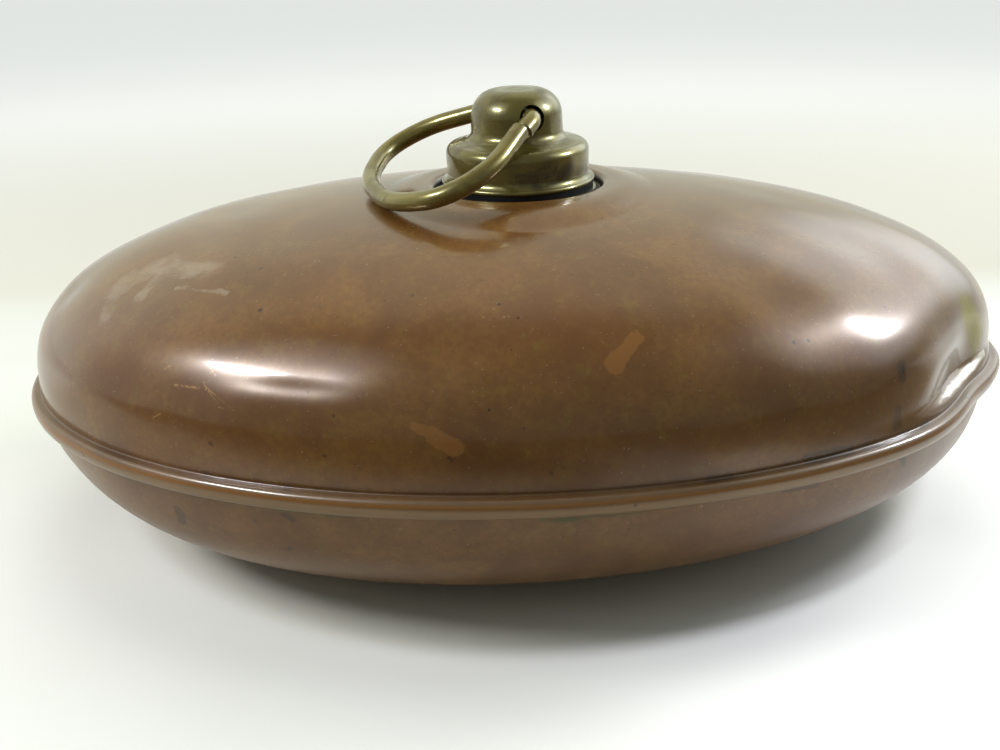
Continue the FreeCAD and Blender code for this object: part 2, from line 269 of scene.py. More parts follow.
def knocked(points, body):
    """Points of the plain body moved by ripples and knocks, but not at the neck or the foot."""
    waves, phases = ripples()
    height = np.sin(points @ waves.T + phases).sum(-1) * RIPPLE_HEIGHT
    out = points / np.array([body.half_length, body.half_width, body.dome_rise]) ** 2
    out[..., 2] = 0
    out /= np.linalg.norm(out, axis=-1, keepdims=True) + 1e-6
    out[..., 2] = RIPPLE_RISE
    from_neck = np.hypot(points[..., 0] - body.neck_place, points[..., 1])
    free = np.clip((from_neck - BOSS_CLEAR) / BOSS_FADE, 0, 1)
    above = np.clip(points[..., 2] / FOOT_FADE, 0, 1)
    moved = height[..., None] * out
    for knock in KNOCKS:
        moved = moved + knock.push(points)
    moved = moved * (free * free * (3 - 2 * free) * above)[..., None]
    return points + moved


# Meshes

def add_mesh(name, points, faces):
    """A new smooth object from points and faces."""
    mesh = bpy.data.meshes.new(name)
    mesh.from_pydata([tuple(p) for p in points], [], faces)
    mesh.validate()
    mesh.shade_smooth()
    mesh.set_sharp_from_angle(angle=SHARP_ANGLE)
    piece = bpy.data.objects.new(name, mesh)
    bpy.context.scene.collection.objects.link(piece)
    return piece


def band_faces(rows, columns, closed=False):
    """Faces of a grid whose columns go round and whose rows may close too."""
    faces = []
    for row in range(rows if closed else rows - 1):
        here = row * columns
        there = (row + 1) % rows * columns
        for column in range(columns):
            after = (column + 1) % columns
            faces.append((here + column, here + after, there + after, there + column))
    return faces


def grid_normals(grid):
    """Unit normals of a grid of points whose columns go round."""
    down = np.gradient(grid, axis=0)
    round_about = np.roll(grid, -1, axis=1) - np.roll(grid, 1, axis=1)
    normals = np.cross(down, round_about)
    return normals / np.linalg.norm(normals, axis=2, keepdims=True)


def arc_points(centre, radius, start, end, steps):
    """Points of a circle in a section, angles in degrees, ends included."""
    turns = np.radians(np.linspace(start, end, steps))
    out = centre[0] + radius * np.cos(turns)
    up = centre[1] + radius * np.sin(turns)
    return np.stack([out, up], axis=1)


def half_round(land, reach, half, end, steps=9):
    """Points round the nose of the fold, from straight down to an angle in degrees."""
    turns = np.radians(np.linspace(-90, end, steps))
    return [(land + (reach - land) * math.cos(t), half * math.sin(t)) for t in turns]


def evenly(path, steps):
    """The same curve with its points at even distances."""
    lengths = np.linalg.norm(np.diff(path, axis=0), axis=1)
    walked = np.concatenate([[0], np.cumsum(lengths)])
    stops = np.linspace(0, walked[-1], steps)
    columns = [np.interp(stops, walked, column) for column in path.T]
    return np.stack(columns, axis=1)


def round_angles():
    return np.linspace(0, 2 * np.pi, RINGS_ROUND, endpoint=False)


def wall_and_out(body):
    """Points of the wall's oval at the seam and the directions out of it, all round."""
    turns = round_angles()
    wall = np.stack([body.half_length * np.cos(turns), body.half_width * np.sin(turns)], axis=1)
    out = wall / np.array([body.half_length, body.half_width]) ** 2
    return wall, out / np.linalg.norm(out, axis=1, keepdims=True)


def seam_rows(body, section):
    """Sweep section points, out from the wall and up from mid-seam, round the seam."""
    wall, out = wall_and_out(body)
    rows = []
    for reach, rise in section:
        flat = wall + out * reach
        rows.append(np.column_stack([flat, np.full(RINGS_ROUND, body.seam_height + rise)]))
    return np.array(rows)


def dome_height(body, x, y):
    """Height of the plain dome over a place in plan."""
    apart = 1 - (x / body.half_length) ** 2 - (y / body.half_width) ** 2
    return body.seam_height + body.dome_rise * np.cbrt(np.clip(apart, 0, None))


def neck_rows(body):
    """Well floor, rolled edge and boss, from the collar's hole outwards."""
    floor = body.crest_height - body.well_depth
    corner = 0.8 * MM
    inset = 2 * MM
    flat = (body.neck_hole, body.neck_hole + inset, body.well_radius - inset)
    section = [(r, floor) for r in flat]
    section += list(arc_points((body.well_radius - corner, floor + corner), corner, -90, 0, 6))
    roll_centre = (body.well_radius + body.well_roll, body.crest_height - body.well_roll)
    section += list(arc_points(roll_centre, body.well_roll, 180, 90, 12))
    turns = round_angles()
    rows = []
    for r, z in section:
        x = body.neck_place + r * np.cos(turns)
        rows.append(np.column_stack([x, r * np.sin(turns), np.full(RINGS_ROUND, z)]))
    centre = body.crest_height - body.boss_round
    crest = body.well_radius + body.well_roll + 0.6 * MM
    for r in np.linspace(crest, BOSS_END, BOSS_ROWS):
        x = body.neck_place + r * np.cos(turns)
        y = r * np.sin(turns)
        beyond = max(r - body.crest_radius, 0)
        boss = centre + math.sqrt(max(body.boss_round ** 2 - beyond ** 2, 0))
        dome = dome_height(body, x, y)
        close = np.clip(1 - np.abs(boss - dome) / body.boss_blend, 0, 1)
        z = np.maximum(boss, dome) + close ** 2 * body.boss_blend / 4
        crest_hold = np.clip((r - body.crest_radius) / (3 * MM), 0, 1)
        z = z * crest_hold + boss * (1 - crest_hold)
        rows.append(np.column_stack([x, y, z]))
    return rows


def dome_rows(body):
    """Rows from the foot of the boss to just above the seam."""
    wall, _ = wall_and_out(body)
    halves = np.array([body.half_length, body.half_width])
    spokes = []
    last = ((body.bead_top + GROOVE) / body.dome_rise) ** (1 / DOME_POWER)
    for turn, end in zip(round_angles(), wall):
        start = np.array([body.neck_place + BOSS_END * math.cos(turn), BOSS_END * math.sin(turn)])
        run = (end - start) / halves
        base = start / halves
        widest = math.acos(min(math.hypot(*base), 1))
        tilt = widest * np.linspace(1, (last / widest) ** (1 / DENSER), 240) ** DENSER
        apart = np.cos(tilt)
        a, b, c = run @ run, 2 * run @ base, base @ base - apart ** 2
        part = (-b + np.sqrt(np.maximum(b * b - 4 * a * c, 0))) / (2 * a)
        flat = start + part[:, None] * (end - start)
        height = body.seam_height + body.dome_rise * np.sin(tilt) ** DOME_POWER
        spokes.append(evenly(np.column_stack([flat, height]), DOME_ROWS))
    return list(np.swapaxes(np.array(spokes), 0, 1))[1:]


def fold_section(body):
    """Outside of the folded seam, from the dome's wall round to the free edge underneath."""
    half, top, land, reach = body.bead_half, body.bead_top, body.bead_land, body.bead_reach
    section = list(arc_points((GROOVE, top + GROOVE), GROOVE, 180, 270, 6))
    turns = np.linspace(90, -90, 31)
    section += [(land + (reach - land) * math.cos(math.radians(t)) ** 0.8,
                 (top if t > 0 else half) * math.sin(math.radians(t))) for t in turns[1:-1]]
    return section + [(land, -half), (EDGE_PLACE, -half), (EDGE_ROUND, -half + EDGE_ROUND)]


def fold_inside(body):
    """Inside of the fold, from its free edge back up to the dome's wall."""
    half = body.bead_half - body.sheet
    section = [(EDGE_ROUND, -half - EDGE_ROUND), (EDGE_PLACE, -half)]
    section += half_round(body.bead_land, body.bead_reach - body.sheet, half, 90)
    return section + [(0.2 * MM, half), (-body.sheet, half + 0.4 * MM)]


def build_dome(body):
    """The upper shell as one closed sheet of copper."""
    outer = knocked(np.array(neck_rows(body) + dome_rows(body)), body)
    inner = (outer - grid_normals(outer) * body.sheet)[::-1][2::2]
    fold = knocked(seam_rows(body, fold_section(body)[1:]), body)
    lining = knocked(seam_rows(body, fold_inside(body)), body)
    return np.concatenate([outer, fold, lining, inner])[::-1]


def belly_rows(body):
    """Rows of the belly from just off its middle to the seam."""
    tilt = (np.pi / 2) * np.linspace(BELLY_HOLE, 0, 400) ** DENSER
    part = np.cos(tilt) ** BELLY_OUT_POWER
    height = body.seam_height - body.belly_drop * np.sin(tilt) ** BELLY_DOWN_POWER
    foot = 0.3 * MM
    height = 0.5 * (height + np.sqrt(height ** 2 + foot ** 2))
    height -= height.min()
    profile = evenly(np.column_stack([part * body.half_length, height]), BELLY_ROWS)
    turns = round_angles()
    narrow = body.half_width / body.half_length
    rows = []
    for r, z in profile:
        flat = [r * np.cos(turns), r * narrow * np.sin(turns)]
        rows.append(np.column_stack([*flat, np.full(RINGS_ROUND, z)]))
    return np.array(rows)


def flange_section(body):
    """Edge of the lower shell inside the fold."""
    top = body.bead_half - body.sheet - 0.05 * MM
    bottom = top - body.sheet
    return [(0, bottom), (body.bead_land, bottom), (body.bead_land, top), (-body.sheet, top)]


def finish_piece(piece, material, body_name, node):
    """Give a new piece its finish, parent it to its body's empty and hide the imported node it
    replaces.
    """
    piece.data.materials.append(material)
    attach(piece, body_name)
    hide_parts(node)


class BOTTLE_OT_dome(bpy.types.Operator):
    """Build the copper dome with its boss, well and folded seam"""
    bl_idname = "bottle.dome"
    bl_label = "Copper Dome"

    def execute(self, context):
        rows = build_dome(sizes())
        faces = band_faces(len(rows), RINGS_ROUND, closed=True)
        piece = add_mesh("copper_dome", rows.reshape(-1, 3), faces)
        finish_piece(piece, copper_patina("dome_copper", 1.0), "bottle", "upper_shell")
        return {"FINISHED"}


class BOTTLE_OT_belly(bpy.types.Operator):
    """Build the copper belly with its flange inside the fold"""
    bl_idname = "bottle.belly"
    bl_label = "Copper Belly"

    def execute(self, context):
        body = sizes()
        outer = knocked(belly_rows(body), body)
        inner = (outer + grid_normals(outer) * body.sheet)[::-1][1::3]
        flange = knocked(seam_rows(body, flange_section(body)), body)
        rows = np.concatenate([outer, flange, inner])
        points = list(rows.reshape(-1, 3))
        faces = band_faces(len(rows), RINGS_ROUND)
        for row, z in ((0, 0.0), (len(rows) - 1, body.sheet)):
            middle = len(points)
            points.append((0, 0, z))
            start = row * RINGS_ROUND
            ring = [start + k for k in range(RINGS_ROUND)]
            pairs = list(zip(ring, ring[1:] + ring[:1]))
            faces += [(middle, b, a) if row == 0 else (middle, a, b) for a, b in pairs]
        piece = add_mesh("copper_belly", points, faces)
        finish_piece(piece, copper_patina("belly_copper", 0.55), "bottle", "lower_shell")
        return {"FINISHED"}


class BOTTLE_OT_seam(bpy.types.Operator):
    """Build the solder inside the folded seam"""
    bl_idname = "bottle.seam"
    bl_label = "Seam Solder"

    def execute(self, context):
        body = sizes()
        film = 0.08 * MM
        half = body.bead_half - body.sheet - film
        top = body.bead_half - 2 * body.sheet - 2 * film
        reach = body.bead_reach - body.sheet - film
        section = [(film, -half), *half_round(body.bead_land, reach, half, 24)]
        section += [(body.bead_land, top), (film, top)]
        rows = knocked(seam_rows(body, section), body)
        faces = band_faces(len(rows), RINGS_ROUND, closed=True)
        piece = add_mesh("seam_fill", rows.reshape(-1, 3), faces)
        finish_piece(piece, old_solder(), "bottle", "seam_solder")
        return {"FINISHED"}


class BOTTLE_OT_neck(bpy.types.Operator):
    """Finish the collar, its solder and the sealing washer"""
    bl_idname = "bottle.neck"
    bl_label = "Neck"

    def execute(self, context):
        # The collar's aged brass is darkened all over: painted shade for its place in the well under
        # the cap
        finish_node("neck_collar", aged_brass("collar_brass_in_painted_shade", 0.9, 0.6))
        finish_node("neck_solder", old_solder())
        finish_node("sealing_washer", washer_rubber())
        return {"FINISHED"}


class BOTTLE_OT_stopper(bpy.types.Operator):
    """Finish the bell, the threaded plug and the solder between them"""
    bl_idname = "bottle.stopper"
    bl_label = "Stopper"

    def execute(self, context):
        finish_node("stopper_cap", aged_brass("bell_brass", 0.3, 1.12, TARNISH))
        finish_node("stopper_plug", aged_brass("plug_brass", 0.2))
        finish_node("cap_solder", old_solder())
        return {"FINISHED"}


def finish_node(node, material):
    """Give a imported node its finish."""
    piece = frame["nodes"][node]
    piece.data.materials.clear()
    piece.data.materials.append(material)


# Pull ring

RING_DROOP = math.radians(23.8)
RING_TWIST = math.tan(math.radians(3.5))
BUTT_GAP = 0.25 * MM
BUTT_FADE = 9 * MM
BUTT_WAY = np.array([-0.6, -0.2, 0.3])
END_SHARE = 0.86
END_BEVEL = 0.35 * MM


def ring_path(ring):
    """Corners of the bent wire from the butt joint, round the ring and through the knob."""
    swing, = [j for j in frame["joints"] if j["name"] == "ring_swing"]
    middle = np.array(swing["pos_m"])
    front = -np.array(swing["axis"]) * np.sign(swing["axis"][1])
    along = np.array([front[1], -front[0], 0])
    up = np.array([0, 0, 1])
    outward = along * math.cos(RING_DROOP) - up * math.sin(RING_DROOP)
    square = along * math.sin(RING_DROOP) + up * math.cos(RING_DROOP)

    def spot(out, side, rise=0.0):
        return middle + outward * out + front * side + square * rise

    loop = [(ring.first, ring.half_width), (ring.second, ring.half_width)]
    loop.append((ring.reach, ring.end_half))
    loop += [(out, -side) for out, side in reversed(loop)]
    corners = [spot(out, side, -side * RING_TWIST) for out, side in loop]
    back = spot(0, -ring.pin_half)
    near = spot(0, ring.pin_half)
    towards = unit(corners[0] - near)
    stub_end = near + towards * ring.butt_place
    start = stub_end + towards * BUTT_GAP
    return [start, *corners, back, near, stub_end], square


def rounded(points, bends):
    """Points along straight runs joined by tangent arcs. A bend of None takes all the room."""
    path = [points[0]]
    for before, corner, after, bend in zip(points, points[1:], points[2:], bends):
        into = before - corner
        out = after - corner
        room = 0.48 * min(np.linalg.norm(into), np.linalg.norm(out))
        into = unit(into)
        out = unit(out)
        half_turn = (math.pi - math.acos(into @ out)) / 2
        reach = room if bend is None else bend * math.tan(half_turn)
        radius = reach / math.tan(half_turn)
        centre = corner + unit(into + out) * radius / math.cos(half_turn)
        x = (corner + into * reach - centre) / radius
        y = -into
        for turn in np.linspace(0, 2 * half_turn, BEND_STEPS):
            path.append(centre + radius * (x * math.cos(turn) + y * math.sin(turn)))
    path.append(points[-1])
    return np.array(path)


def tube(path, radius):
    """Rows of a tube round a path, with a radius for each point of it."""
    ways = np.gradient(path, axis=0)
    ways /= np.linalg.norm(ways, axis=1)[:, None]
    side = np.cross(ways[0], (0.0, 0.0, 1.0))
    rows = []
    turns = np.linspace(0, 2 * np.pi, WIRE_SIDES, endpoint=False)[:, None]
    for point, way, reach in zip(path, ways, radius):
        side = unit(side - way * (side @ way))
        other = np.cross(way, side)
        rows.append(point + reach * (np.cos(turns) * side + np.sin(turns) * other))
    return np.array(rows)


class BOTTLE_OT_ring(bpy.types.Operator):
    """Build the bent wire pull ring with its butt joint"""
    bl_idname = "bottle.ring"
    bl_label = "Pull Ring"

    def execute(self, context):
        ring = context.scene.bottle_ring
        corners, square = ring_path(ring)
        bends = [None] * (len(corners) - 4) + [ring.pin_bend, ring.pin_bend]
        path = evenly(rounded(corners, bends), WIRE_ROWS)
        steps = np.linalg.norm(np.diff(path, axis=0), axis=1)
        walked = np.concatenate([[0], np.cumsum(steps)])
        off_line = np.exp(-(walked / BUTT_FADE) ** 2)
        path = path + off_line[:, None] * ring.butt_step * (square * 0.7 + BUTT_WAY)
        worn = 1 + 0.018 * np.sin(walked / (13 * MM)) + 0.012 * np.sin(walked / (5.3 * MM) + 1)
        radius = ring.wire * np.minimum(worn, 1.0)
        rows = tube(path, radius)
        ends = []
        for end, beside in ((0, 1), (-1, -2)):
            ends.append(path[end] + (rows[end] - path[end]) * END_SHARE)
            rows[end] = rows[end] + unit(path[beside] - path[end]) * END_BEVEL
        rows = np.concatenate([[ends[0]], rows, [ends[1]]])
        faces = band_faces(len(rows), WIRE_SIDES)
        last = (len(rows) - 1) * WIRE_SIDES
        faces.append(tuple(range(WIRE_SIDES))[::-1])
        faces.append(tuple(range(last, last + WIRE_SIDES)))
        piece = add_mesh("wire_ring", rows.reshape(-1, 3), faces)
        finish_piece(piece, aged_brass("ring_brass", 0.15, 1.5), "ring", "pull_ring")
        return {"FINISHED"}


# Materials

# Outputs of the texture coordinate and light path nodes
WORLD_WAY = 0
OBJECT_PLACE = 3
SEEN_DIRECTLY = 0
SEEN_IN_GLOSS = 3


class Shade:
    """A shader socket. Expressions on it add the nodes that work them out."""

    def __init__(self, tree, socket=None):
        self.tree = tree
        self.socket = socket

    def node(self, kind, settings, sockets, output=0):
        made = self.tree.nodes.new(kind)
        for name, value in settings.items():
            setattr(made, name, value)
        for name, value in sockets.items():
            if isinstance(value, Shade):
                self.tree.links.new(value.socket, made.inputs[name])
            else:
                made.inputs[name].default_value = value
        return Shade(self.tree, made.outputs[output])

    def math(self, operation, *values):
        return self.node("ShaderNodeMath", {"operation": operation}, dict(enumerate(values)))

    def vector(self, operation, *values, output=0):
        sockets = dict(enumerate(values))
        return self.node("ShaderNodeVectorMath", {"operation": operation}, sockets, output)

    def __add__(self, other):
        return self.math("ADD", self, other)

    def __radd__(self, other):
        return self.math("ADD", other, self)

    def __sub__(self, other):
        return self.math("SUBTRACT", self, other)

    def __rsub__(self, other):
        return self.math("SUBTRACT", other, self)

    def __mul__(self, other):
        return self.math("MULTIPLY", self, other)

    def __rmul__(self, other):
        return self.math("MULTIPLY", other, self)

    def __truediv__(self, other):
        return self.math("DIVIDE", self, other)

    def between(self, low, high):
        """0 under low, 1 over high and a soft step between. low may be the larger one."""
        sockets = {"Value": self, "From Min": low, "From Max": high}
        return self.node("ShaderNodeMapRange", {"interpolation_type": "SMOOTHSTEP"}, sockets)

    def blend(self, first, second):
        """First colour where this is 0, second where it is 1."""
        return self.node("ShaderNodeMix", {"data_type": "RGBA"}, {0: self, 6: first, 7: second}, 2)

    def covered(self, amount, colour):
        """This colour with another one over it by an amount."""
        return amount.blend(self, paint(colour))

    def most(self, other):
        return self.math("MAXIMUM", self, other)

    def noise(self, scale, detail=3.0, rough=0.5, twist=0.0):
        sockets = {"Vector": self, "Scale": scale, "Detail": detail}
        sockets.update({"Roughness": rough, "Distortion": twist})
        return self.node("ShaderNodeTexNoise", {}, sockets)

    def stretched(self, x, y, z):
        return self.vector("MULTIPLY", self, (x, y, z))

    def part(self, axis):
        return self.node("ShaderNodeSeparateXYZ", {}, {0: self}, axis)

    def near(self, place, reach):
        """1 at a place in millimetres, falling to 0 at a reach."""
        away = self.vector("DISTANCE", self, [value * MM for value in place], output=1)
        return away.between(reach * MM, 0.0)

    def stroke(self, start, end, reach):
        """1 on a straight line between two places in millimetres, 0 at a reach beside it."""
        a = Vector(start) * MM
        run = Vector(end) * MM - a
        rel = self.vector("SUBTRACT", self, tuple(a))
        along = rel.vector("DOT_PRODUCT", rel, tuple(run / run.length_squared), output=1)
        along = along.math("MINIMUM", along.most(0.0), 1.0)
        sockets = {0: tuple(run), "Scale": along}
        foot = self.node("ShaderNodeVectorMath", {"operation": "SCALE"}, sockets)
        return rel.vector("DISTANCE", rel, foot, output=1).between(reach * MM, 0.2 * reach * MM)

    def warped(self, scale, reach):
        """Places drifted by up to half a reach in millimetres, so that marks lose drawn edges."""
        sockets = {"Vector": self, "Scale": scale, "Detail": 3.0}
        drift = self.node("ShaderNodeTexNoise", {}, sockets, 1)
        drift = drift.vector("SUBTRACT", drift, (0.5, 0.5, 0.5))
        return self.vector("ADD", self, drift.stretched(*[reach * MM] * 3))

    def strokes(self, marks):
        """The strongest of several strokes."""
        strongest = None
        for start, end, reach in marks:
            one = self.stroke(start, end, reach)
            strongest = one if strongest is None else strongest.most(one)
        return strongest


def paint(value):
    return (*value, 1.0)


def new_material(name):
    """A new material, its shader and the place on the object as a Shade."""
    material = bpy.data.materials.new(name)
    material.use_nodes = True
    tree = material.node_tree
    shader = tree.nodes["Principled BSDF"]
    place = Shade(tree).node("ShaderNodeTexCoord", {}, {}, OBJECT_PLACE)
    return material, shader, place


def feed(shader, name, value):
    """Link a Shade to a socket of the shader, or set a plain value on it."""
    if isinstance(value, Shade):
        value.tree.links.new(value.socket, shader.inputs[name])
    else:
        shader.inputs[name].default_value = value


def bumped(place, height, strength, distance):
    sockets = {"Strength": strength, "Distance": distance, "Height": height}
    return place.node("ShaderNodeBump", {}, sockets)


# Marks in millimetres: the start, the end and the reach of each. A pit has one place.

STAINS = (
    ((-16.5, -94.7, 64.9), (-12.8, -95.4, 62.9), 3.6),
    ((-21, -93.6, 66.9), (-16, -94.6, 65.2), 1.8),
    ((25.4, -86, 78.5), (31, -80.7, 82.4), 3.4),
)
# Scuffs on the left shoulder; the crescent they draw is partly a painted sheen for the dent there
SCUFFS_AND_SHEEN = (
    ((-107, -48.2, 80.6), (-106.8, -39.4, 84.3), 3.5),
    ((-106.8, -39.4, 84.3), (-104.3, -34, 86.8), 5.5),
    ((-104.3, -34, 86.8), (-93.6, -32.4, 90.4), 6.5),
    ((-97.4, -47.2, 85), (-94.9, -40, 88.2), 3.5),
    ((-93.6, -36, 89.6), (-79.8, -44, 91), 6.0),
    ((-87.2, -48.5, 87.7), (-71.6, -56.8, 88.4), 1.2),
)
# Painted reflection: strokes of near white along the dent's fold, where it mirrors the bright floor
FOLD_REFLECTIONS = (
    ((114.5, -57.2, 51.8), (119.5, -51.6, 52.2), 0.9),
    ((119.5, -51.6, 52.2), (124.5, -45, 52.3), 1.4),
    ((124.5, -45, 52.3), (134, -33.2, 52.6), 1.8),
    ((134, -33.2, 52.6), (140.7, -25.6, 53.4), 1.5),
)
# Painted reflection: where the yellow green patch by the dent goes
YELLOW_REFLECTION_PLACES = (
    ((130, -35, 69.5), (136.5, -29.5, 59.5), 7.5),
)
SMEARS = (
    ((99, -71, 57.2), (99.1, -71.3, 53.6), 2.8),
    ((99.8, -67.5, 67.6), (99.9, -68.4, 65.8), 3.4),
    ((73.2, -83.9, 51.1), (85, -78.9, 50.6), 2.6),
    ((47.9, -91.5, 50.2), (52.6, -90.4, 50.2), 2.6),
    ((-85.6, -77.3, 36.4), (-85.8, -75.5, 32.4), 2.4),
    ((-54.8, -89.4, 41.6), (-53.8, -89.6, 41), 2.2),
    ((67.1, -85.9, 43.2), (76.7, -82.3, 43), 1.4),
    ((101.7, -69.5, 42.4), (103, -68.4, 40.6), 2.2),
)
CRUSTS = (
    ((-57.5, -89, 43.6), (-40, -93.2, 43.8), 1.5),
    ((8, -96.9, 43.6), (32, -94.8, 43.6), 1.5),
)
PITS = (
    ((-60.8, -65.7, 86.7), 1.3),
    ((-1.1, -72.6, 89), 0.9),
    ((3.4, -76.7, 86.8), 0.9),
    ((-3.8, -93.1, 70.6), 0.7),
    ((69.6, -75.2, 78), 1.0),
    ((73.6, -73.7, 77.8), 1.0),
    ((100, -67.9, 66.9), 1.8),
)
SCRATCHES = (
    ((-72.6, -79.2, 71.8), (-65.3, -83.9, 67.9), 0.4),
    ((-72.2, -79.8, 71.2), (-68.5, -82.6, 68.2), 0.3),
    ((-73.5, -77.9, 73.1), (-72.7, -79.3, 71.5), 0.4),
    ((-81.6, -75.6, 71.2), (-74.8, -78.4, 71.5), 0.5),
    ((-71.8, -76.4, 75.8), (-70.4, -78, 74.6), 0.4),
    ((-84.7, -72, 74.1), (-83.3, -72, 74.8), 0.4),
    ((-69.3, -82.4, 68.1), (-66.1, -83.6, 67.8), 0.4),
    ((-88.5, -76, 62.6), (-86.1, -76.7, 64.1), 0.4),
)
TARNISH = (
    ((5, -21, 108), (14, -19, 109), 4.5),
    ((10, -20.5, 106), (19, -15.5, 108.5), 4),
    ((22, -12, 106), (24.5, -6, 108), 3),
)


def copper_patina(name, gloss):
    """Old brown copper: clouds, stains, pits, scratches, a darker line along the seam, painted shade in
    the well round the collar, and painted reflections on the left crescent, the dent's fold and the
    patch beside it.
    """
    material, shader, place = new_material(name)
    look = finishes()
    body = sizes()
    clouds = place.noise(48, 6, 0.62, 0.25)
    red = place.noise(17, 4, 0.6, 0.3)
    grain = place.noise(520, 4, 0.65)
    specks = place.noise(1500, 2, 0.5)
    base = clouds.between(0.28, 0.72).blend(paint(look.copper_dark), paint(look.copper_brown))
    base = base.covered(red.between(0.45, 0.75) * 0.5, look.copper_red)
    patches = place.noise(190, 5, 0.7)
    base = base.covered(patches.between(0.52, 0.72) * 0.32, look.copper_olive)
    base = base.covered(patches.between(0.46, 0.28) * 0.4, look.copper_red)
    base = base.covered(grain.between(0.38, 0.66) * 0.5, look.copper_dark)
    base = base.covered(specks.between(0.69, 0.76) * 0.35, look.scuff_and_sheen)
    # Painted reflection: a yellow green patch by the dent, with less coat over it
    green = place.warped(90, 4).strokes(YELLOW_REFLECTION_PLACES)
    base = base.covered(green * 0.9, look.painted_yellow_reflection)

    edge = (place.noise(260, 4, 0.65) - 0.5) * 0.9
    drift = place.warped(170, 4)
    stain = (drift.strokes(STAINS) + edge * 0.8).between(0.3, 0.6)
    base = base.covered(stain * 0.55, look.stain)
    # Pale crescent on the left shoulder: partly scuffs, partly a painted sheen where the dent reflects
    # light
    broken = 0.25 + place.noise(110, 5, 0.65).between(0.36, 0.66)
    scuff_and_sheen = place.warped(120, 5).strokes(SCUFFS_AND_SHEEN) * broken
    base = base.covered(scuff_and_sheen * 0.27, look.scuff_and_sheen)

    half = body.bead_half
    height = place.part(2) - body.seam_height
    wander = (place.noise(90, 4, 0.65) - 0.5) * (1.6 * MM)
    top = body.bead_top
    # A darker line and blots at the foot of the dome, just above the fold
    on_dome = height.between(top - 0.1 * MM, top + 0.1 * MM)
    line = (height + wander).between(top + 1.1 * MM, top + 0.3 * MM)
    blots = (height + wander * 2).between(top + 2.6 * MM, top + 0.8 * MM)
    blots = blots * place.noise(44, 3, 0.6).between(0.58, 0.68)
    seam_line_and_well_shade = on_dome * blots.math("MAXIMUM", blots * 0.7, line * 0.3)
    smear = (drift.strokes(SMEARS) + edge * 0.9).between(0.25, 0.85)
    base = base.covered(smear * 0.5, look.dark_grime_and_shade)
    # Painted shade: the well round the collar is darkened with the dark colour
    from_neck = place.vector("SUBTRACT", place, (body.neck_place, 0, 0)).stretched(1, 1, 0)
    radius = from_neck.vector("LENGTH", from_neck, output=1)
    well = radius.between(body.well_radius + 0.8 * MM, body.well_radius)
    seam_line_and_well_shade = seam_line_and_well_shade.most(well * 0.9)
    # Darker just under the fold
    under = (height + wander * 0.6).between(-half - 1.4 * MM, -half - 0.2 * MM)
    under = under * height.between(-half + 0.4 * MM, -half - 0.1 * MM)
    crust = under * place.noise(38, 5, 0.7).between(0.53, 0.6)
    grown = drift.strokes(CRUSTS) * place.noise(420, 3, 0.6).between(0.36, 0.56)
    crust = crust.most(grown)
    bead = height.between(top + 0.3 * MM, top - 0.2 * MM)
    bead = bead * height.between(-half - 0.1 * MM, -half + 0.3 * MM)
    rubbed = bead * height.between(0.1 * MM, 0.7 * MM) * height.between(1.7 * MM, 1.1 * MM)
    tan = bead * height.between(0.6 * MM, -0.4 * MM)
    base = base.covered(bead * 0.5, look.bead_grey)
    base = base.covered(rubbed * 0.75, look.copper_worn)
    base = base.covered(tan * 0.35, look.bead_tan)
    base = base.covered(seam_line_and_well_shade, look.dark_grime_and_shade)
    base = base.covered(under * 0.45, look.dark_grime_and_shade)
    base = base.covered(crust * 0.6, look.verdigris)

    pit = place.noise(330, 2, 0.5).between(0.735, 0.76) * 0.7
    for spot, reach in PITS:
        pit = pit.most((place.near(spot, reach) + edge * 0.4).between(0.3, 0.7))
    base = base.covered(pit * 0.75, look.dark_grime_and_shade)
    scratches = place.strokes(SCRATCHES) * place.noise(1500, 3, 0.6).between(0.36, 0.58)
    hair = place.stretched(900, 160, 420).noise(1.0, 2, 0.5).between(0.745, 0.765)
    hair = hair * place.noise(24, 2).between(0.55, 0.68)
    scratched = scratches.most(hair * 0.5)
    base = base.covered(scratched * 0.55, look.copper_bare)
    # Painted reflection on the dent's fold: near white colour, and more metal where it lies
    worn = place.warped(150, 1.5).strokes(FOLD_REFLECTIONS)
    base = base.covered(worn * 0.85, look.fold_reflection)
    feed(shader, "Base Color", base)
    feed(shader, "Metallic", 0.18 + worn * 0.65 - seam_line_and_well_shade * 0.16 - crust * 0.16)
    rough = (0.42 - 0.16 * gloss) + (clouds - 0.5) * 0.05 + (grain - 0.5) * 0.05
    feed(shader, "Roughness", rough + seam_line_and_well_shade * 0.3 + crust * 0.4 + scuff_and_sheen * 0.06 + bead * 0.04)
    # Less coat on the bead and on the painted yellow green reflection
    shine = 0.5 * gloss * (1 - bead * 0.4) * (1 - green * 0.8)
    feed(shader, "Coat Weight", shine * (1 - seam_line_and_well_shade * 0.8) * (1 - crust))
    feed(shader, "Coat Roughness", 0.1)
    relief = clouds * 0.03 + grain * 0.05 + specks * 0.03 - pit * 0.15 + crust * 0.6 - scratched * 0.12
    feed(shader, "Normal", bumped(place, relief * (1 - bead * 0.8), 0.22, 0.25 * MM))
    return material


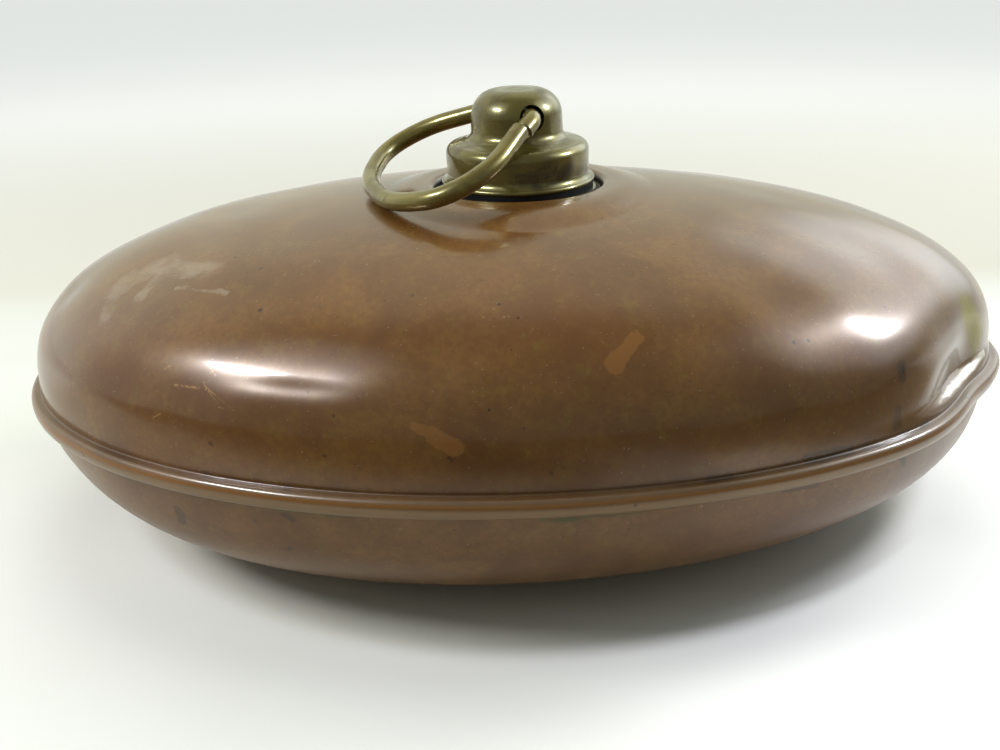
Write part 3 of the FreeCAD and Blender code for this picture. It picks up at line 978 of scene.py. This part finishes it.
def aged_brass(name, grime, bright=1.0, marks=()):
    """Greenish aged brass with dark blotches and rubbed edges."""
    material, shader, place = new_material(name)
    look = finishes()
    blotch = place.noise(90, 5, 0.65, 0.8)
    fine = place.noise(650, 4, 0.6)
    dark = blotch.between(0.62 - 0.18 * grime, 0.36)
    clean = [bright * value for value in look.brass]
    base = (dark * (0.35 + 0.6 * grime)).blend(paint(clean), paint(look.brass_dark))
    base = base.covered(fine.between(0.5, 0.8) * 0.25, look.brass_dark)
    if marks:
        shadowed = place.strokes(marks) * place.noise(150, 5, 0.7, 0.5).between(0.3, 0.6)
        base = base.covered(shadowed * 0.8, look.brass_tarnish)
    rub = place.noise(45, 3, 0.55).between(0.55, 0.8)
    base = base.covered(rub * 0.1, look.brass_pale)
    feed(shader, "Base Color", base)
    feed(shader, "Metallic", 0.62 - dark * 0.2)
    feed(shader, "Roughness", 0.24 + dark * 0.1 + (fine - 0.5) * 0.06)
    feed(shader, "Coat Weight", 0.55 - dark * 0.2)
    feed(shader, "Coat Roughness", 0.07)
    feed(shader, "Normal", bumped(place, fine * 0.12 + blotch * 0.3, 0.14, 0.2 * MM))
    return material


def washer_rubber():
    """Hardened black rubber."""
    material, shader, place = new_material("washer_rubber")
    look = finishes()
    dust = place.noise(300, 4, 0.6)
    base = (dust.between(0.5, 0.8) * 0.3).blend(paint(look.rubber), paint(look.brass_dark))
    feed(shader, "Base Color", base)
    feed(shader, "Specular IOR Level", 0.25)
    feed(shader, "Roughness", 0.55 + (dust - 0.5) * 0.4)
    feed(shader, "Normal", bumped(place, dust, 0.3, 0.2 * MM))
    return material


def old_solder():
    """Dull tin solder, made once for all the joints."""
    made = bpy.data.materials.get("old_solder")
    if made:
        return made
    material, shader, place = new_material("old_solder")
    look = finishes()
    cloud = place.noise(200, 4, 0.6)
    base = (cloud.between(0.4, 0.7) * 0.6).blend(paint(look.solder), paint(look.dark_grime_and_shade))
    feed(shader, "Base Color", base)
    feed(shader, "Metallic", 0.8)
    feed(shader, "Roughness", 0.45 + (cloud - 0.5) * 0.3)
    feed(shader, "Normal", bumped(place, cloud, 0.3, 0.3 * MM))
    return material


def stage_paper():
    """Pale paper that is creamier far behind, with painted light round the bottle's shadow and painted
    shade beside and in front that only reflections and bounced light see.
    """
    material, shader, place = new_material("stage_paper")
    look = finishes()
    cloud = place.noise(9, 3, 0.5)
    base = (cloud.between(0.35, 0.7) * 0.5).blend(paint(look.paper), paint(look.paper_cloud))
    base = base.covered(place.part(1).between(PAPER_BACK, PAPER_BACK + 0.05), look.wall)
    seen = place.node("ShaderNodeLightPath", {}, {}, SEEN_DIRECTLY)
    mirrored = place.node("ShaderNodeLightPath", {}, {}, SEEN_IN_GLOSS)
    along = place.part(0)
    across = place.part(1)
    # Painted shade: darker paper beside and in front of the picture, hidden from the camera, seen in
    # reflections and bounced light
    sideways = along.math("MAXIMUM", along * -1.0, along * 0.9) - across * 0.455
    beyond = sideways.between(0.20, 0.27) * across.between(0.12, 0.0) * (1 - seen)
    beyond = beyond * (0.45 + along.between(-0.05, 0.05) * 0.55)
    table = across.between(PAPER_FRONT, PAPER_FRONT - 0.12) * (1 - seen)
    base = base.covered(table, look.table)
    base = base.covered(beyond, look.side_paper_shade)
    feed(shader, "Base Color", base)
    feed(shader, "Roughness", 0.9)
    feed(shader, "Specular IOR Level", 0.1)
    away = place.vector("LENGTH", place.stretched(0.74, 1, 1), output=1)
    both = seen.most(mirrored) * (1 - beyond)
    # Painted light round the shadow: outside an oval along its edge the paper glows, to the camera in
    # front and to camera and reflections on the right
    off_middle = (along - SHADOW_PLACE[0]) * (1 / SHADOW_REACH[0])
    off_front = (across - SHADOW_PLACE[1]) * (1 / SHADOW_REACH[1])
    spread = off_middle.math("SQRT", off_middle * off_middle + off_front * off_front)
    right = along.between(0.02, 0.16) * across.between(0.22, 0.05) * both * spread.between(0.95, 1.04)
    in_front = across.between(0.06, -0.06) * seen * spread.between(0.985, 1.06)
    level = (0.42 + along.between(-0.02, 0.09) * 0.55) * right.most(in_front)
    painted_floor_light = level.blend(paint((0, 0, 0)), paint(look.painted_light_round_shadow))
    distant = away.between(0.22, 1.0) * both * (1 - table)
    feed(shader, "Emission Color", distant.blend(painted_floor_light, paint(look.far_paper)))
    feed(shader, "Emission Strength", 1.0)
    return material


# Stage

# Each lamp: its name, way, distance, size and brightness, and whether it only shows in gloss
LAMPS = (
    ("lamp_left", (-0.66, -0.39, 0.64), 0.85, (0.30, 0.08), 92.0, True),
    ("fill_left", (-0.80, -0.16, 0.58), 0.85, (0.30, 0.20), 26.0, False),
    ("lamp_right", (0.83, 0.04, 0.53), 0.85, (0.14, 0.20), 76.0, True),
    ("fill_right", (0.70, 0.30, 0.65), 0.85, (0.30, 0.20), 15.0, False),
    ("lamp_above", (0.05, 0.25, 0.96), 1.00, (0.90, 0.70), 2.2, False),
)
# Each glow: its way, the cosines at its rim and its core, and its brightness
GLOWS = (
    ((0.66, 0.62, 0.42), 0.89, 1.0, 1.9),
    ((0.82, 0.03, 0.55), 0.87, 0.99, 1.8),
    ((-0.60, -0.32, 0.73), 0.90, 0.99, 0.95),
    ((-0.98, 0.05, 0.20), 0.60, 1.0, 0.4),
)
LAMP_TINT = (0.77, 0.90, 1.04)
TENT_TINT = (0.95, 1.0, 0.84)
FILL_TINT = (1.0, 0.97, 0.92)
GLOW_TINT = (0.86, 0.95, 1.05)
PAPER_FRONT = -0.135
PAPER_BACK = 0.175
SHADOW_PLACE = (0.0054, 0.040)
SHADOW_REACH = (0.1385, 0.1288)
FLOOR_HALF = 5.0
FLOOR_INNER = 0.4
LAMP_AIM = Vector((0, 0, 60)) * MM
CAMERA_TARGET = Vector((-2.933, 0, 38.809)) * MM
CAMERA_REACH = 329.392 * MM
CAMERA_RISE = math.radians(23.496)
CAMERA_YAW = math.radians(1.164)
CAMERA_ROLL = math.radians(-1.928)
CAMERA_FOCUS = 1.008459  # focal length as a share of the picture's width


class BOTTLE_OT_stage(bpy.types.Operator):
    """Build the paper floor, the lamps, the surroundings and the camera"""
    bl_idname = "bottle.stage"
    bl_label = "Stage"

    def execute(self, context):
        scene = context.scene
        rows = [-FLOOR_HALF, -FLOOR_INNER, 0.0, FLOOR_INNER, FLOOR_HALF]
        points = [(x, y, 0.0) for y in rows for x in rows]
        wide = len(rows)
        corners = [k for k in range(wide * (wide - 1)) if (k + 1) % wide]
        faces = [(k, k + 1, k + wide + 1, k + wide) for k in corners]
        floor = add_mesh("paper_floor", points, faces)
        floor.data.materials.append(stage_paper())
        for name, way, reach, extent, brightness, mirrored in LAMPS:
            data = bpy.data.lights.new(name, "AREA")
            data.shape = "ELLIPSE"
            data.size, data.size_y = extent
            data.energy = brightness * math.pi * extent[0] * extent[1] * math.pi / 4
            data.color = LAMP_TINT if mirrored else FILL_TINT
            lamp = bpy.data.objects.new(name, data)
            lamp.visible_camera = False
            lamp.visible_diffuse = not mirrored
            lamp.visible_glossy = mirrored
            scene.collection.objects.link(lamp)
            way = Vector(way).normalized()
            lamp.location = LAMP_AIM + way * reach
            lamp.rotation_euler = way.to_track_quat("Z", "Y").to_euler()
        self.surroundings(scene)
        self.camera(scene)
        scene.view_settings.view_transform = "Standard"
        return {"FINISHED"}

    def surroundings(self, scene):
        """White behind and above, a darker room in front, and glows round the lamps."""
        light = scene.bottle_light
        world = bpy.data.worlds.new("studio")
        world.use_nodes = True
        tree = world.node_tree
        background = tree.nodes["Background"]
        way = Shade(tree).node("ShaderNodeTexCoord", {}, {}, WORLD_WAY)
        lit = way.part(1).between(0.0, 0.42)
        high = way.part(2).between(0.12, 0.6)
        tent = light.backdrop + high * (light.tent - light.backdrop)
        front = light.room + way.part(2).between(0.2, 0.8) * (light.ceiling - light.room)
        strength = front + lit * (tent - front)
        glow = None
        for aim, rim, core, brightness in GLOWS:
            towards = way.vector("DOT_PRODUCT", way, tuple(Vector(aim).normalized()), output=1)
            one = towards.between(rim, core) * (brightness * light.glow)
            glow = one if glow is None else glow + one
        tint = (glow / (glow + strength)).blend(paint(TENT_TINT), paint(GLOW_TINT))
        strength = strength + glow
        seen = way.node("ShaderNodeLightPath", {}, {}, SEEN_DIRECTLY)
        mirrored = way.node("ShaderNodeLightPath", {}, {}, SEEN_IN_GLOSS)
        strength = strength * (light.spread + mirrored * (1 - light.spread))
        feed(background, "Strength", strength.most(seen))
        feed(background, "Color", tint)
        scene.world = world

    def camera(self, scene):
        """The camera that was fitted to the photograph."""
        back = Vector((math.sin(CAMERA_YAW) * math.cos(CAMERA_RISE),
                       -math.cos(CAMERA_YAW) * math.cos(CAMERA_RISE), math.sin(CAMERA_RISE)))
        right = (-back).cross(Vector((0, 0, 1))).normalized()
        up = right.cross(-back)
        turned_right = math.cos(CAMERA_ROLL) * right + math.sin(CAMERA_ROLL) * up
        turned_up = math.cos(CAMERA_ROLL) * up - math.sin(CAMERA_ROLL) * right
        data = bpy.data.cameras.new("camera")
        data.sensor_fit = "HORIZONTAL"
        data.sensor_width = 36
        data.lens = data.sensor_width * CAMERA_FOCUS
        data.clip_start = 0.01
        camera = bpy.data.objects.new("camera", data)
        scene.collection.objects.link(camera)
        axes = Matrix((turned_right, turned_up, back)).transposed().to_4x4()
        camera.matrix_world = Matrix.Translation(CAMERA_TARGET + back * CAMERA_REACH) @ axes
        scene.camera = camera


class BOTTLE_PT_panel(bpy.types.Panel):
    """The bottle's pieces and settings"""
    bl_idname = "BOTTLE_PT_panel"
    bl_label = "Copper Hot Water Bottle"
    bl_space_type = "VIEW_3D"
    bl_region_type = "UI"
    bl_category = "Bottle"

    def draw(self, context):
        for operator in OPERATORS:
            self.layout.operator(operator.bl_idname)
        scene = context.scene
        for group in (scene.bottle_sizes, scene.bottle_ring, scene.bottle_finishes, scene.bottle_light):
            for name in group.__annotations__:
                self.layout.prop(group, name)


OPERATORS = (BOTTLE_OT_dome, BOTTLE_OT_belly, BOTTLE_OT_seam, BOTTLE_OT_neck, BOTTLE_OT_stopper,
             BOTTLE_OT_ring, BOTTLE_OT_stage)
GROUPS = {"bottle_sizes": BodySizes, "bottle_ring": RingSizes, "bottle_finishes": Finishes,
          "bottle_light": StageLight}


def register():
    for kind in (*GROUPS.values(), *OPERATORS, BOTTLE_PT_panel):
        bpy.utils.register_class(kind)
    for name, group in GROUPS.items():
        setattr(bpy.types.Scene, name, PointerProperty(type=group))


def unregister():
    for name in GROUPS:
        delattr(bpy.types.Scene, name)
    for kind in (BOTTLE_PT_panel, *reversed(OPERATORS), *GROUPS.values()):
        bpy.utils.unregister_class(kind)


def main():
    register()
    bpy.ops.bottle.dome()
    bpy.ops.bottle.belly()
    bpy.ops.bottle.seam()
    bpy.ops.bottle.neck()
    bpy.ops.bottle.stopper()
    bpy.ops.bottle.ring()
    bpy.ops.bottle.stage()


if __name__ == "__main__":
    main()
